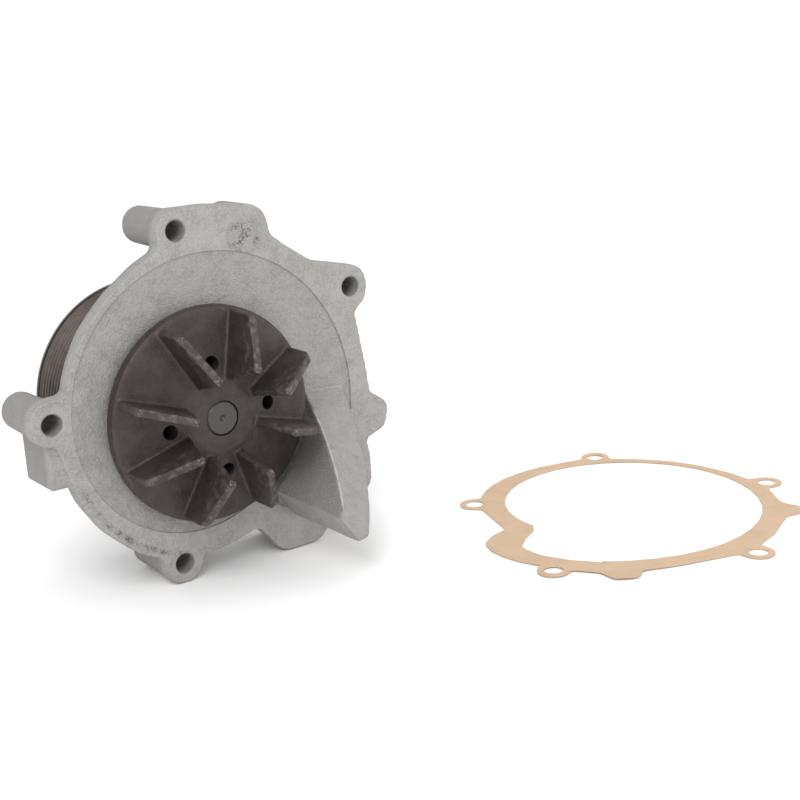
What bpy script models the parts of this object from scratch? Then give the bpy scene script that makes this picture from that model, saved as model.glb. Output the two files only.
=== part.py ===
"""Engine water pump with its loose flange gasket, built from separate solid pieces.

The pump stands on its lower bolt ear and the lobe beside it, with the shaft level. Shapes are
drawn in millimetres in the pump's own frame: x to the right and y up across the flange face,
z along the shaft towards the impeller, with z = 0 on the machined flange face. Every pump piece
is then turned upright, so its z axis points along world -Y, and its origin is on the shaft axis.
"""
import math

import bmesh
import bpy
from mathutils import Matrix, Vector

MM = 0.001
GAP = 0.3                      # kept between pieces that touch, press or slide

# Where the pump and the loose gasket lie, in millimetres; the floor is z = 0.
AXIS_HEIGHT = 93.4
PUMP_PLACE = (-117.0, 57.8, AXIS_HEIGHT)
GASKET_PLACE = (114.2, -17.7, 0.0)
GASKET_TURN = -118.9           # degrees, seen from above

# Flange and bolt holes
HOLE_RADIUS = 5.5              # clearance for M10 screws
BOLT_HOLES = {"top": (-6.6, 98.6), "right": (100.3, 51.9), "lower_right": (95.5, -61.0),
              "bottom": (-20.4, -82.3), "left": (-86.3, 11.2)}
FLANGE_THICKNESS = 9.0
BOSS_DEPTH = 42.0              # flange face to the screw seats
RECESS_DEPTH = 0.6             # the cast floor of the volute lies this far below the face

# Volute: a spiral that grows clockwise from the cutwater
CUTWATER_ANGLE = -65.0
SPIRAL_START = 63.0
SPIRAL_GROWTH = 0.11           # millimetres of radius per degree

# Helical outlet ramp that turns the flow forward
RAMP_START, RAMP_END = 3.0, -55.0
RAMP_INNER, RAMP_OUTER = 64.0, 91.5
RAMP_HEIGHT = 68.0
RAMP_FOOT = -6.0

# Shaft stack, measured along z
SHAFT_NOSE_RADIUS, SHAFT_RADIUS, SHAFT_TAIL_RADIUS = 9.3, 12.5, 11.0
SHAFT_FRONT, SHAFT_BACK = 20.0, -84.5
BEARING_FRONT, BEARING_BACK = -32.0, -64.0
BEARING_RADIUS = 26.0
RACE_RADIUS = 20.4
PITCH_RADIUS = 16.45
ELEMENT_RADIUS = 3.6
BALL_ROW, ROLLER_ROW = -41.0, -54.5
ROLLER_LENGTH = 10.0
BALL_COUNT, ROLLER_COUNT = 8, 9

# Impeller
DISC_RADIUS = 59.0
DISC_BACK, DISC_FRONT, HUB_FRONT = 3.2, 9.6, 20.0
VANE_THICKNESS = 4.6
VANE_ANGLES = (162.4, 117.6, 72.6, 27.5, -17.5, -68.0, -113.0, -158.0)
BALANCE_HOLES, BALANCE_HOLE_RING, BALANCE_HOLE_RADIUS = 4, 29.8, 4.0

# Pulley and hub
PULLEY_RADIUS = 62.5
RIB_COUNT, RIB_PITCH, RIB_DEPTH = 8, 3.56, 2.6
PULLEY_FRONT, PULLEY_BACK = -43.5, -76.0
SCREW_RING, SCREW_COUNT = 26.5, 4
SCREW_HOLE_RADIUS = 4.3

GASKET_THICKNESS = 0.8
GASKET_EAR = 9.0               # radius of the paper ring round each screw hole


# ---------------------------------------------------------------- scene and helpers

def clear_scene():
    for thing in list(bpy.data.objects):
        bpy.data.objects.remove(thing, do_unlink=True)


def new_collection(name):
    collection = bpy.data.collections.new(name)
    bpy.context.scene.collection.children.link(collection)
    return collection


def material(name, colour, roughness, metallic):
    result = bpy.data.materials.new(name)
    result.use_nodes = True
    shader = result.node_tree.nodes["Principled BSDF"]
    shader.inputs["Base Color"].default_value = (*colour, 1.0)
    shader.inputs["Roughness"].default_value = roughness
    shader.inputs["Metallic"].default_value = metallic
    return result


def stand_on_shaft(thing):
    """Turn a piece drawn along z so that it points along world -Y, on the shaft axis."""
    thing.location = Vector(PUMP_PLACE) * MM
    thing.rotation_euler = (math.radians(90.0), 0.0, 0.0)


def add_object(name, mesh, look):
    thing = bpy.data.objects.new(name, mesh)
    PARTS.objects.link(thing)
    thing.data.materials.append(look)
    stand_on_shaft(thing)
    return thing


def add_tool(name, mesh):
    """A shape that only joins or cuts another piece."""
    tool = bpy.data.objects.new(name, mesh)
    TOOLS.objects.link(tool)
    tool.display_type = "WIRE"
    tool.hide_render = True
    stand_on_shaft(tool)
    return tool


def boolean(target, tool, operation):
    step = target.modifiers.new(f"{operation.lower()} {tool.name}", "BOOLEAN")
    step.operation = operation
    step.solver = "EXACT"
    step.object = tool


def mesh_from(name, vertices, faces):
    """Mesh in metres from millimetre corners, with its faces turned outwards."""
    mesh = bpy.data.meshes.new(name)
    mesh.from_pydata([tuple(Vector(v) * MM) for v in vertices], [], faces)
    work = bmesh.new()
    work.from_mesh(mesh)
    bmesh.ops.recalc_face_normals(work, faces=work.faces)
    work.to_mesh(mesh)
    work.free()
    return mesh


def smooth_round(mesh, angle=35.0):
    mesh.shade_smooth()
    mesh.set_sharp_from_angle(angle=math.radians(angle))


def rounded(corners, steps=5):
    """Outline from (x, y, radius) corners: each corner becomes an arc of that radius."""
    points = []
    count = len(corners)
    for i, (x, y, radius) in enumerate(corners):
        here = Vector((x, y))
        before = (Vector(corners[i - 1][:2]) - here).normalized()
        after = (Vector(corners[(i + 1) % count][:2]) - here).normalized()
        half = before.angle(after) / 2.0
        if radius <= 0.0 or half > math.radians(88.0):
            points.append((x, y))
            continue
        centre = here + (before + after).normalized() * (radius / math.sin(half))
        start = here + before * (radius / math.tan(half)) - centre
        end = here + after * (radius / math.tan(half)) - centre
        turn = start.angle_signed(end)
        pieces = max(1, round(steps * abs(turn) / math.radians(90.0)))
        for k in range(pieces + 1):
            spoke = start.copy()
            spoke.rotate(Matrix.Rotation(-turn * k / pieces, 2))
            points.append(tuple(centre + spoke))
    return points


def circle(x, y, radius, steps=20):
    return [(x + radius * math.cos(math.tau * k / steps), y + radius * math.sin(math.tau * k / steps))
            for k in range(steps)]


def flat_mesh(name, outlines, low, high):
    """Flat piece between z = low and z = high: the first outline holds the others as holes."""
    curve = bpy.data.curves.new(name, "CURVE")
    curve.dimensions = "2D"
    curve.fill_mode = "BOTH"
    curve.extrude = (high - low) / 2.0 * MM
    for outline in outlines:
        spline = curve.splines.new("POLY")
        spline.points.add(len(outline) - 1)
        for point, (x, y) in zip(spline.points, outline):
            point.co = (x * MM, y * MM, 0.0, 1.0)
        spline.use_cyclic_u = True
    guide = bpy.data.objects.new(name + " outline", curve)
    TOOLS.objects.link(guide)
    bpy.context.view_layer.update()
    mesh = bpy.data.meshes.new_from_object(guide.evaluated_get(bpy.context.evaluated_depsgraph_get()))
    mesh.transform(guide.matrix_world)
    mesh.transform(Matrix.Translation((0.0, 0.0, (low + high) / 2.0 * MM)))
    bpy.data.objects.remove(guide, do_unlink=True)
    work = bmesh.new()
    work.from_mesh(mesh)
    bmesh.ops.remove_doubles(work, verts=work.verts, dist=0.000001)
    bmesh.ops.recalc_face_normals(work, faces=work.faces)
    work.to_mesh(mesh)
    work.free()
    mesh.name = name
    return mesh


def turned(name, profile, look, steps=48, closed=True, as_tool=False):
    """Piece of revolution about z. The profile runs down the outer side, then up the inner one."""
    mesh = bpy.data.meshes.new(name)
    count = len(profile)
    edges = [(i, i + 1) for i in range(count - 1)]
    if closed:
        edges.append((count - 1, 0))
    mesh.from_pydata([(r * MM, 0.0, z * MM) for r, z in profile], edges, [])
    thing = add_tool(name, mesh) if as_tool else add_object(name, mesh, look)
    screw = thing.modifiers.new("turn", "SCREW")
    screw.axis = "Z"
    screw.angle = math.tau
    screw.steps = steps
    screw.render_steps = steps
    screw.use_smooth_shade = True
    screw.use_merge_vertices = True
    screw.merge_threshold = 0.00001
    return thing


def ring(outer, inner, low, high):
    """Profile of a plain ring."""
    return [(outer, high), (outer, low), (inner, low), (inner, high)]


def round_bars(name, places, low, high, front_radius, back_radius, steps=20):
    """One mesh of separate straight round bars along z, each at an (x, y) place."""
    work = bmesh.new()
    for x, y in places:
        middle = Matrix.Translation(Vector((x, y, (low + high) / 2.0)) * MM)
        bmesh.ops.create_cone(work, cap_ends=True, segments=steps, radius1=back_radius * MM,
                              radius2=front_radius * MM, depth=(high - low) * MM, matrix=middle)
    mesh = bpy.data.meshes.new(name)
    work.to_mesh(mesh)
    work.free()
    smooth_round(mesh)
    return mesh


def around(count, radius, start=0.0):
    """Evenly spaced (x, y, angle) places on a circle."""
    angles = [start + math.tau * k / count for k in range(count)]
    return [(radius * math.cos(angle), radius * math.sin(angle), angle) for angle in angles]


# ---------------------------------------------------------------- outlines of the flange

def flange_outline():
    """Clockwise from the ear of the top screw: five ears, two blind bumps and the foot lobe."""
    ear = 11.4
    corners = [
        (-18.4, 110.4, ear), (12.0, 110.0, 30.0), (47.5, 106.0, 13.0), (50.5, 89.0, 5.0),
        (60.0, 81.5, 20.0), (76.0, 70.5, 20.0),
        (112.0, 62.0, ear), (111.0, 40.5, ear), (102.0, 38.5, 4.0),
        (107.5, 5.0, 60.0), (109.5, -12.0, 3.0),
        (122.5, -21.0, 8.0), (118.5, -35.5, 8.0), (104.5, -39.5, 4.0),
        (107.0, -50.0, 10.0), (107.0, -72.6, ear), (86.0, -73.0, 12.0), (75.5, -78.0, 8.0),
        (71.5, -AXIS_HEIGHT, 13.0), (42.5, -AXIS_HEIGHT, 13.0), (27.5, -74.3, 6.0),
        (6.0, -80.0, 40.0), (-8.8, -80.5, 3.0),
        (-9.0, -AXIS_HEIGHT, ear), (-32.0, -AXIS_HEIGHT, ear), (-33.0, -76.0, 5.0),
        (-47.0, -69.5, 40.0), (-64.0, -53.5, 40.0), (-77.0, -33.0, 40.0), (-83.0, -10.0, 20.0),
        (-86.0, -0.5, 2.0), (-98.3, -1.0, ear), (-98.6, 23.2, ear), (-77.5, 24.5, 4.0),
        (-74.5, 36.0, 40.0), (-65.0, 54.0, 40.0), (-50.0, 70.0, 40.0), (-31.0, 83.5, 30.0),
        (-18.4, 89.5, 5.0),
    ]
    return rounded(corners, 6)


def volute_outline(shrink=0.0):
    """Inside edge of the gasket land: the spiral, then the outlet around the ramp."""
    points = []
    for turn in range(0, 316, 9):
        angle = math.radians(CUTWATER_ANGLE - turn)
        radius = SPIRAL_START + SPIRAL_GROWTH * turn - shrink
        points.append((radius * math.cos(angle), radius * math.sin(angle)))
    outlet = [(93.5 - shrink, -32.5, 20.0), (84.5 - shrink, -49.5, 14.0), (72.0, -64.0 + shrink, 12.0),
              (57.0, -71.5 + shrink, 8.0), (43.5, -65.5 + shrink, 5.0), (33.0, -58.5 + shrink, 6.0)]
    points += rounded([(97.0 - shrink, -20.0, 0.0)] + outlet + [(27.5, -57.5 + shrink, 0.0)], 3)[1:-1]
    return points


# ---------------------------------------------------------------- housing

def ramp_mesh():
    """Helical outlet ramp: sections across the channel, each higher than the one before."""
    vertices = []
    stations = 20
    span = RAMP_START - RAMP_END
    for k in range(stations + 1):
        angle = RAMP_START - span * k / stations
        along = Vector((math.cos(math.radians(angle)), math.sin(math.radians(angle))))
        climb = max(0.0, -angle - 1.0) / (-RAMP_END - 5.0)
        top = -1.4 + (RAMP_HEIGHT + 1.4) * min(1.0, climb) ** 1.08
        near_end = max(0.0, (RAMP_END + 12.0 - angle) / 12.0)
        inner = RAMP_INNER + 2.0 * near_end ** 3
        outer = RAMP_OUTER - 4.0 * near_end ** 3
        soften = min(2.5, max(0.3, (top + 1.4) * 0.4))
        section = [(inner, RAMP_FOOT), (outer + 1.5, RAMP_FOOT), (outer, top - soften * 1.6),
                   (outer - 0.35 * soften, top - 0.5 * soften), (outer - 1.4 * soften, top),
                   (inner + 0.5 * soften, top), (inner, top - 0.5 * soften)]
        vertices += [(radius * along.x, radius * along.y, z) for radius, z in section]
    width = len(section)
    faces = [tuple(range(width)), tuple(stations * width + i for i in reversed(range(width)))]
    for k in range(stations):
        for i in range(width):
            j = (i + 1) % width
            faces.append((k * width + i, k * width + j, (k + 1) * width + j, (k + 1) * width + i))
    return mesh_from("ramp", vertices, faces)


def boss_mesh():
    """Tapered bosses behind the screw ears and two blind ones; those on the floor are straight."""
    work = bmesh.new()
    foot = AXIS_HEIGHT - 0.05
    bosses = [(*place, 11.0, 10.2, -BOSS_DEPTH) for name, place in BOLT_HOLES.items() if name != "bottom"]
    x, y = BOLT_HOLES["bottom"]
    bosses += [(x, y, foot + y, foot + y, -BOSS_DEPTH), (57.0, -80.6, foot - 80.6, foot - 80.6, -38.0),
               (34.0, 96.0, 11.8, 11.4, -24.0)]
    for x, y, front_radius, back_radius, back in bosses:
        middle = Matrix.Translation(Vector((x, y, (back - 1.0) / 2.0)) * MM)
        bmesh.ops.create_cone(work, cap_ends=True, segments=20, radius1=back_radius * MM,
                              radius2=front_radius * MM, depth=(-1.0 - back) * MM, matrix=middle)
    mesh = bpy.data.meshes.new("bosses")
    work.to_mesh(mesh)
    work.free()
    return mesh


def box_mesh(name, low, high):
    work = bmesh.new()
    bmesh.ops.create_cube(work, size=1.0)
    size = Vector(high) - Vector(low)
    middle = (Vector(high) + Vector(low)) / 2.0
    bmesh.ops.scale(work, vec=size * MM, verts=work.verts)
    bmesh.ops.translate(work, vec=middle * MM, verts=work.verts)
    mesh = bpy.data.meshes.new(name)
    work.to_mesh(mesh)
    work.free()
    return mesh


def rib_mesh():
    """Stiffening ribs behind the flange, from the bearing tube out to each screw boss."""
    work = bmesh.new()
    for x, y in BOLT_HOLES.values():
        reach = math.hypot(x, y)
        corners = [(30.0, -45.0), (46.0, -31.0), (reach - 7.0, -22.0), (reach - 7.0, -5.0), (30.0, -5.0)]
        loop = [work.verts.new(Vector((r, -2.6, z)) * MM) for r, z in corners]
        face = work.faces.new(loop)
        grown = bmesh.ops.extrude_face_region(work, geom=[face])
        top = [v for v in grown["geom"] if isinstance(v, bmesh.types.BMVert)]
        bmesh.ops.translate(work, vec=Vector((0.0, 5.2, 0.0)) * MM, verts=top)
        bmesh.ops.rotate(work, verts=loop + top, matrix=Matrix.Rotation(math.atan2(y, x), 3, "Z"))
    bmesh.ops.recalc_face_normals(work, faces=work.faces)
    mesh = bpy.data.meshes.new("ribs")
    work.to_mesh(mesh)
    work.free()
    return mesh


def build_housing(look):
    housing = add_object("housing", flat_mesh("housing", [flange_outline()], -FLANGE_THICKNESS, 0.0), look)
    boolean(housing, add_tool("volute recess", flat_mesh("recess", [volute_outline()], -RECESS_DEPTH, 3.0)),
            "DIFFERENCE")
    boolean(housing, add_tool("screw bosses", boss_mesh()), "UNION")
    lug = add_tool("side lug", box_mesh("lug", (-90.0, -24.0, -34.0), (-66.0, 4.0, -2.0)))
    boolean(housing, lug, "UNION")
    boolean(housing, add_tool("ribs", rib_mesh()), "UNION")
    back = [(0.0, -4.0), (72.0, -4.0), (71.0, -11.0), (62.0, -18.0), (48.0, -30.0), (36.0, -37.0),
            (34.0, -42.0), (33.5, -64.0), (32.5, -65.0), (0.0, -65.0)]
    boolean(housing, turned("rear body", back, None, closed=False, as_tool=True), "UNION")
    seat = BEARING_RADIUS + GAP
    bore = [(0.0, 3.0), (44.0, 3.0), (44.0, -7.0), (41.0, -10.0), (19.3, -10.0), (19.3, -23.5),
            (17.0, -23.5), (17.0, -31.0), (seat, -31.0), (seat, -70.0), (0.0, -70.0)]
    boolean(housing, turned("shaft bore", bore, None, closed=False, as_tool=True), "DIFFERENCE")
    boolean(housing, add_tool("outlet ramp", ramp_mesh()), "UNION")
    drill = round_bars("holes", BOLT_HOLES.values(), -60.0, 10.0, HOLE_RADIUS, HOLE_RADIUS)
    boolean(housing, add_tool("screw holes", drill), "DIFFERENCE")
    weep = round_bars("weep", [(0.0, 0.0)], 8.0, 60.0, 2.5, 2.5, steps=12)
    weep.transform(Matrix.Translation((0.0, 0.0, -27.5 * MM)) @ Matrix.Rotation(math.radians(90.0), 4, "X"))
    boolean(housing, add_tool("weep hole", weep), "DIFFERENCE")


# ---------------------------------------------------------------- rotor

def vanes_mesh():
    """Eight straight vanes whose front edges rise from the rim towards the hub."""
    side = [(19.0, 8.0), (57.0, 6.0), (57.2, 29.0), (54.5, 33.0), (30.5, 46.5), (28.5, 45.8), (20.8, 18.5)]
    work = bmesh.new()
    for angle in VANE_ANGLES:
        loop = [work.verts.new(Vector((r, -VANE_THICKNESS / 2.0, z)) * MM) for r, z in side]
        face = work.faces.new(loop)
        grown = bmesh.ops.extrude_face_region(work, geom=[face])
        top = [v for v in grown["geom"] if isinstance(v, bmesh.types.BMVert)]
        bmesh.ops.translate(work, vec=Vector((0.0, VANE_THICKNESS, 0.0)) * MM, verts=top)
        bmesh.ops.rotate(work, verts=loop + top, matrix=Matrix.Rotation(math.radians(angle), 3, "Z"))
    bmesh.ops.recalc_face_normals(work, faces=work.faces)
    mesh = bpy.data.meshes.new("vanes")
    work.to_mesh(mesh)
    work.free()
    return mesh


def build_impeller(look):
    bore = SHAFT_NOSE_RADIUS + GAP
    profile = [(18.5, HUB_FRONT), (21.0, 19.2), (56.5, 10.8), (DISC_RADIUS, DISC_FRONT),
               (DISC_RADIUS, DISC_BACK), (16.0, DISC_BACK), (16.0, 1.0), (bore, 1.0), (bore, HUB_FRONT)]
    impeller = turned("impeller", profile, look)
    boolean(impeller, add_tool("vanes", vanes_mesh()), "UNION")
    places = [(x, y) for x, y, _ in around(BALANCE_HOLES, BALANCE_HOLE_RING, math.radians(3.7))]
    drill = round_bars("balance", places, -5.0, 30.0, BALANCE_HOLE_RADIUS, BALANCE_HOLE_RADIUS, steps=16)
    boolean(impeller, add_tool("balance holes", drill), "DIFFERENCE")


def build_shaft(look):
    profile = [(0.0, 18.4), (1.4, SHAFT_FRONT), (8.6, SHAFT_FRONT),
               (SHAFT_NOSE_RADIUS, SHAFT_FRONT - 0.7), (SHAFT_NOSE_RADIUS, -29.0),
               (SHAFT_RADIUS, -30.5), (SHAFT_RADIUS, -66.0), (SHAFT_TAIL_RADIUS, -66.2),
               (SHAFT_TAIL_RADIUS, SHAFT_BACK + 0.8), (SHAFT_TAIL_RADIUS - 0.8, SHAFT_BACK),
               (0.0, SHAFT_BACK)]
    turned("shaft", profile, look, steps=24, closed=False)


def pulley_profile():
    """Rim with V ribs outside, a lip each side, and a web that closes the back."""
    ribs_back = PULLEY_BACK + 1.6
    lip = PULLEY_RADIUS + 0.9
    profile = [(60.0, PULLEY_FRONT), (lip, PULLEY_FRONT - 0.6), (lip, PULLEY_FRONT - 1.4)]
    for k in range(RIB_COUNT + 1):
        valley = ribs_back + (RIB_COUNT - k) * RIB_PITCH
        profile.append((PULLEY_RADIUS - RIB_DEPTH, valley))
        if k < RIB_COUNT:
            profile.append((PULLEY_RADIUS, valley - RIB_PITCH / 2.0))
    profile += [(lip, PULLEY_BACK + 1.0), (lip, PULLEY_BACK + 0.4),
                (PULLEY_RADIUS - 1.5, PULLEY_BACK), (18.0, PULLEY_BACK), (18.0, PULLEY_BACK + 3.3),
                (53.0, PULLEY_BACK + 3.3), (56.0, PULLEY_BACK + 6.0), (56.0, PULLEY_FRONT)]
    return profile


def build_pulley(look):
    pulley = turned("pulley", pulley_profile(), look, steps=40)
    places = [(x, y) for x, y, _ in around(SCREW_COUNT, SCREW_RING, math.radians(45.0))]
    drill = round_bars("pulley holes", places, -90.0, -60.0, SCREW_HOLE_RADIUS, SCREW_HOLE_RADIUS, steps=16)
    boolean(pulley, add_tool("pulley screw holes", drill), "DIFFERENCE")


def build_hub(look):
    bore = SHAFT_TAIL_RADIUS + GAP
    profile = [(34.0, -67.4), (34.0, -72.4), (17.6, -72.4), (17.6, -82.0), (bore, -82.0), (bore, -66.6),
               (16.0, -66.6), (17.0, -67.4)]
    hub = turned("pulley_hub", profile, look, steps=36)
    places = [(x, y) for x, y, _ in around(SCREW_COUNT, SCREW_RING, math.radians(45.0))]
    drill = round_bars("hub holes", places, -90.0, -60.0, SCREW_HOLE_RADIUS, SCREW_HOLE_RADIUS, steps=16)
    boolean(hub, add_tool("hub screw holes", drill), "DIFFERENCE")


def build_pulley_screws(look):
    for number, (x, y, _) in enumerate(around(SCREW_COUNT, SCREW_RING, math.radians(45.0)), 1):
        head = round_bars(f"screw {number}", [(x, y)], -82.0, PULLEY_BACK - GAP, 7.5, 7.5, steps=6)
        screw = add_object(f"pulley_screw_{number}", head, look)
        shank_radius = SCREW_HOLE_RADIUS - 0.4
        shank = round_bars(f"shank {number}", [(x, y)], -78.0, -66.0, shank_radius, shank_radius, steps=16)
        boolean(screw, add_tool(f"screw shank {number}", shank), "UNION")


# ---------------------------------------------------------------- bearing

def build_bearing(steel, brass, rubber):
    chamfer = 0.8
    turned("bearing_outer_ring",
           [(BEARING_RADIUS - chamfer, BEARING_FRONT), (BEARING_RADIUS, BEARING_FRONT - chamfer),
            (BEARING_RADIUS, BEARING_BACK + chamfer), (BEARING_RADIUS - chamfer, BEARING_BACK),
            (RACE_RADIUS, BEARING_BACK), (RACE_RADIUS, BEARING_FRONT)], steel, steps=32)
    for name, low in (("bearing_seal_front", BEARING_FRONT - 2.2), ("bearing_seal_rear", BEARING_BACK + 1.0)):
        turned(name, ring(RACE_RADIUS - GAP, SHAFT_RADIUS + GAP, low, low + 1.2), rubber, steps=24)

    ball_mesh = bpy.data.meshes.new("ball")
    work = bmesh.new()
    bmesh.ops.create_uvsphere(work, u_segments=10, v_segments=7, radius=ELEMENT_RADIUS * MM)
    work.to_mesh(ball_mesh)
    work.free()
    smooth_round(ball_mesh, 60.0)
    for number, (x, y, _) in enumerate(around(BALL_COUNT, PITCH_RADIUS), 1):
        mesh = ball_mesh.copy()
        mesh.transform(Matrix.Translation(Vector((x, y, BALL_ROW)) * MM))
        add_object(f"bearing_ball_{number}", mesh, steel)
    for number, (x, y, _) in enumerate(around(ROLLER_COUNT, PITCH_RADIUS), 1):
        low = ROLLER_ROW - ROLLER_LENGTH / 2.0
        high = low + ROLLER_LENGTH
        mesh = round_bars("roller", [(x, y)], low, high, ELEMENT_RADIUS, ELEMENT_RADIUS, steps=12)
        add_object(f"bearing_roller_{number}", mesh, steel)

    cage = turned("ball_cage", ring(17.7, 15.2, BALL_ROW - 5.0, BALL_ROW + 5.0), brass, steps=24)
    boolean(cage, add_tool("ball pockets", pocket_mesh(BALL_COUNT, BALL_ROW, 4.1, 4.1)), "DIFFERENCE")
    cage = turned("roller_cage", ring(17.7, 15.2, ROLLER_ROW - 7.0, ROLLER_ROW + 7.0), brass, steps=27)
    pockets = pocket_mesh(ROLLER_COUNT, ROLLER_ROW, 4.1, ROLLER_LENGTH / 2.0 + GAP)
    boolean(cage, add_tool("roller pockets", pockets), "DIFFERENCE")


def pocket_mesh(count, z, half_width, half_length):
    """Square-cornered windows through a cage, one for each rolling element."""
    work = bmesh.new()
    for _, _, angle in around(count, 1.0):
        made = bmesh.ops.create_cube(work, size=1.0)["verts"]
        bmesh.ops.scale(work, vec=Vector((10.0, 2.0 * half_width, 2.0 * half_length)) * MM, verts=made)
        bmesh.ops.translate(work, vec=Vector((PITCH_RADIUS, 0.0, z)) * MM, verts=made)
        bmesh.ops.rotate(work, verts=made, matrix=Matrix.Rotation(angle, 3, "Z"))
    mesh = bpy.data.meshes.new("pockets")
    work.to_mesh(mesh)
    work.free()
    return mesh


# ---------------------------------------------------------------- shaft seal

def spring_mesh(radius, wire, low, high, turns):
    """Coil spring as a swept wire."""
    curve = bpy.data.curves.new("spring", "CURVE")
    curve.dimensions = "3D"
    curve.bevel_depth = wire * MM
    curve.bevel_resolution = 1
    curve.use_fill_caps = True
    spline = curve.splines.new("POLY")
    count = turns * 12 + 1
    spline.points.add(count - 1)
    for k, point in enumerate(spline.points):
        angle = math.tau * k / 12
        z = low + (high - low) * k / (count - 1)
        point.co = (radius * math.cos(angle) * MM, radius * math.sin(angle) * MM, z * MM, 1.0)
    guide = bpy.data.objects.new("spring path", curve)
    TOOLS.objects.link(guide)
    bpy.context.view_layer.update()
    mesh = bpy.data.meshes.new_from_object(guide.evaluated_get(bpy.context.evaluated_depsgraph_get()))
    mesh.transform(guide.matrix_world)
    bpy.data.objects.remove(guide, do_unlink=True)
    work = bmesh.new()
    work.from_mesh(mesh)
    bmesh.ops.remove_doubles(work, verts=work.verts, dist=0.000001)
    bmesh.ops.recalc_face_normals(work, faces=work.faces)
    work.to_mesh(mesh)
    work.free()
    return mesh


def build_shaft_seal(steel, rubber, carbon, ceramic):
    cup = [(21.6, -8.6), (21.6, -9.7), (19.0, -9.7), (19.0, -23.0), (10.6, -23.0), (10.6, -22.0),
           (18.0, -22.0), (18.0, -8.6)]
    turned("seal_cup", cup, steel, steps=28)
    bellows = [(14.2, -10.0), (14.2, -11.4), (13.2, -13.0), (14.4, -15.0), (13.2, -17.0), (14.4, -19.0),
               (14.4, -21.7), (11.2, -21.7), (11.2, -19.0), (12.0, -15.0), (11.2, -10.0)]
    turned("seal_bellows", bellows, rubber, steps=20)
    add_object("seal_spring", spring_mesh(16.2, 0.7, -20.9, -10.2, 4), steel)
    turned("carbon_face", ring(15.2, 11.6, -9.2, -4.9), carbon, steps=24)
    turned("seal_seat", ring(17.0, 12.7, -4.6, 0.7), ceramic, steps=24)
    turned("seat_boot", ring(12.4, SHAFT_NOSE_RADIUS + GAP, -4.2, 0.7), rubber, steps=24)
    turned("slinger", [(15.0, -25.2), (15.0, -26.0), (12.0, -27.4), (SHAFT_NOSE_RADIUS + GAP, -27.4),
                       (SHAFT_NOSE_RADIUS + GAP, -26.4), (11.6, -26.4), (13.8, -25.2)], rubber, steps=20)


# ---------------------------------------------------------------- gasket

def gasket_ear(name, root_before, root_after):
    """Ring round one screw hole; its two roots are given by their distances from the shaft axis."""
    hole = Vector(BOLT_HOLES[name])
    out = hole.normalized()
    side = Vector((-out.y, out.x)) * GASKET_EAR
    tip = hole + out * GASKET_EAR
    root_radius = 2.5
    spots = [(out * root_before + side, root_radius), (tip + side, GASKET_EAR),
             (tip - side, GASKET_EAR), (out * root_after - side, root_radius)]
    return [(spot.x, spot.y, radius) for spot, radius in spots]


def gasket_outline():
    """Clockwise from the top screw: a band round the volute, with five ears and three plain bumps."""
    corners = gasket_ear("top", 91.0, 95.0)
    corners += [(31.0, 93.0, 10.0), (38.0, 101.0, 5.0), (49.0, 100.0, 6.0), (52.0, 88.0, 4.0),
                (62.0, 80.5, 30.0), (76.0, 71.0, 20.0)]
    corners += gasket_ear("right", 106.0, 107.0)
    corners += [(106.5, 5.0, 60.0), (108.0, -15.0, 3.0), (117.5, -20.0, 5.0), (116.0, -33.0, 5.0),
                (105.0, -38.0, 3.0)]
    corners += gasket_ear("lower_right", 110.0, 108.0)
    corners += [(74.5, -79.5, 30.0), (58.0, -87.5, 8.0), (46.0, -89.0, 8.0), (36.0, -83.0, 6.0),
                (27.0, -73.0, 4.0)]
    corners += gasket_ear("bottom", 80.0, 82.0)
    corners += [(-47.0, -69.0, 30.0), (-64.0, -53.0, 30.0), (-76.0, -33.0, 30.0), (-82.0, -10.0, 20.0)]
    corners += gasket_ear("left", 84.0, 82.0)
    corners += [(-74.0, 36.0, 30.0), (-64.5, 54.0, 30.0), (-50.0, 70.0, 30.0), (-31.0, 83.0, 20.0)]
    return rounded(corners, 4)


def build_gasket(look):
    """Flat paper gasket, cut to the land of the flange, lying on the floor beside the pump."""
    holes = [circle(x, y, HOLE_RADIUS) for x, y in BOLT_HOLES.values()]
    mesh = flat_mesh("gasket", [gasket_outline(), volute_outline(1.0)] + holes, 0.0, GASKET_THICKNESS)
    gasket = add_object("gasket", mesh, look)
    gasket.location = Vector(GASKET_PLACE) * MM
    gasket.rotation_euler = (0.0, 0.0, math.radians(GASKET_TURN))


# ---------------------------------------------------------------- assembly

def main():
    cast_aluminium = material("cast_aluminium", (0.45, 0.44, 0.42), 0.6, 0.6)
    cast_iron = material("cast_iron", (0.05, 0.04, 0.038), 0.55, 0.6)
    steel = material("steel", (0.5, 0.5, 0.5), 0.3, 1.0)
    dark_steel = material("dark_steel", (0.08, 0.06, 0.055), 0.4, 0.8)
    brass = material("brass", (0.6, 0.45, 0.2), 0.35, 1.0)
    rubber = material("rubber", (0.02, 0.02, 0.02), 0.8, 0.0)
    carbon = material("carbon", (0.03, 0.03, 0.035), 0.5, 0.0)
    ceramic = material("ceramic", (0.8, 0.78, 0.72), 0.3, 0.0)
    paper = material("gasket_paper", (0.62, 0.44, 0.29), 0.85, 0.0)

    build_housing(cast_aluminium)
    build_impeller(cast_iron)
    build_shaft(steel)
    build_pulley(dark_steel)
    build_hub(steel)
    build_pulley_screws(steel)
    build_bearing(steel, brass, rubber)
    build_shaft_seal(steel, rubber, carbon, ceramic)
    build_gasket(paper)


clear_scene()
PARTS = new_collection("water_pump")
TOOLS = new_collection("cutters")
main()
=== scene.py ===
"""Looks of the engine water pump and its loose flange gasket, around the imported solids.

Shapes are drawn in millimetres in the pump's own frame: x to the right and y up across the flange
face, z along the shaft towards the impeller, with z = 0 on the machined flange face. The mesh of
each finished piece is turned upright into world metres, and its object stays at the origin.
"""

import math

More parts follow.
